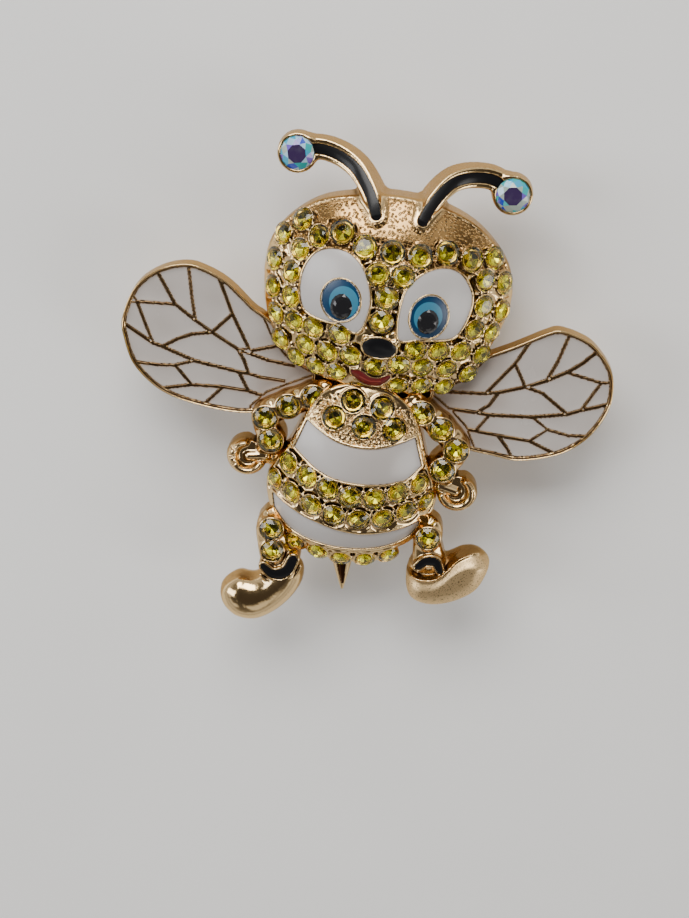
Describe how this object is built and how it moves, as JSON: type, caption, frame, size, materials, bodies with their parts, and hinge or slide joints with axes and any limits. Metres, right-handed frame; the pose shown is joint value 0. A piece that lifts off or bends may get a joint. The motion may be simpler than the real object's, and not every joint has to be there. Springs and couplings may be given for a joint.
{
  "type": "insect brooch",
  "caption": "Brooch in the form of a smiling bee: domed gold-plated casting with cut stones, enamelled wings and bands, and a pin on its back.",
  "frame": {"origin": "middle of the pin's footprint, on the surface that the brooch lies on", "axes": "+Z out of the figure's face, +Y towards its head, +X to the viewer's right when it is seen upright from the front"},
  "size_m": [0.0551, 0.057, 0.0152],
  "materials": {
    "gold_plate": "polished light gold plating, stippled between the stones of the forehead",
    "pin_steel": "satin nickel-plated steel",
    "citrine_glass": "foil-backed cut glass",
    "crystal_glass": "cut glass with an iridescent coat",
    "black_glass": "black cut glass",
    "white_enamel": "glossy pearly enamel",
    "black_enamel": "glossy enamel",
    "red_enamel": "glossy enamel",
    "blue_enamel": "glossy enamel"
  },
  "bodies": {
    "root": {"casting": "gold_plate", "pin_back": "pin_steel", "head_stones": "citrine_glass", "chest_stones": "citrine_glass", "belly_stones": "citrine_glass", "tail_stones": "citrine_glass", "left_arm_stones": "citrine_glass", "right_arm_stones": "citrine_glass", "left_leg_stones": "citrine_glass", "right_leg_stone": "citrine_glass", "left_antenna_stone": "crystal_glass", "right_antenna_stone": "crystal_glass", "left_eye_white": "white_enamel", "right_eye_white": "white_enamel", "left_iris": "blue_enamel", "right_iris": "blue_enamel", "left_pupil": "black_glass", "right_pupil": "black_glass", "nose_enamel": "black_enamel", "mouth_enamel": "red_enamel", "upper_belly_band": "white_enamel", "lower_belly_band": "white_enamel", "left_wing_enamel": "white_enamel", "right_wing_enamel": "white_enamel", "left_antenna_enamel": "black_enamel", "right_antenna_enamel": "black_enamel", "left_sock_enamel": "black_enamel", "right_sock_enamel": "black_enamel"}
  },
  "joints": []
}
